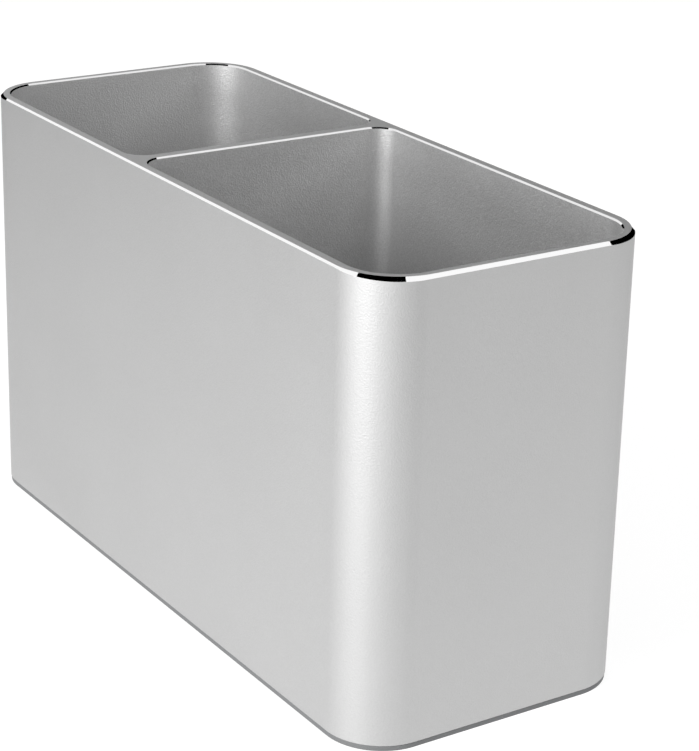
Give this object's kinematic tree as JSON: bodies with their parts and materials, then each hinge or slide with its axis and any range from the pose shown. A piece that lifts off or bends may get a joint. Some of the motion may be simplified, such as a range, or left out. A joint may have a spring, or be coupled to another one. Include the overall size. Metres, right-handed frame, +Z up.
{
  "type": "pen holder",
  "caption": "Two-cell metal pen holder: a rounded rectangular body with an off-centre divider, bright-cut rim, screwed base plate and non-slip pad.",
  "frame": {"origin": "middle of the footprint, on the surface that the holder stands on", "axes": "+Z up; +X along the long side, towards the large cell; +Y across, away from the front long wall"},
  "size_m": [0.175, 0.07, 0.102],
  "materials": {
    "body_aluminium": "bead-blasted and clear anodised, satin, with bright-cut chamfers at the rim",
    "plate_aluminium": "mill-finished sheet, satin",
    "screw_steel": "stainless, satin",
    "liner_rubber": "fine-celled foam rubber sheet, matt",
    "adhesive_film": "double-sided adhesive film, matt",
    "pad_rubber": "grey silicone rubber, matt"
  },
  "bodies": {
    "root": {"body": "body_aluminium", "base_plate": "plate_aluminium", "screw_front": "screw_steel", "screw_rear": "screw_steel", "small_cell_liner": "liner_rubber", "large_cell_liner": "liner_rubber", "pad_adhesive": "adhesive_film", "non_slip_pad": "pad_rubber"}
  },
  "joints": []
}
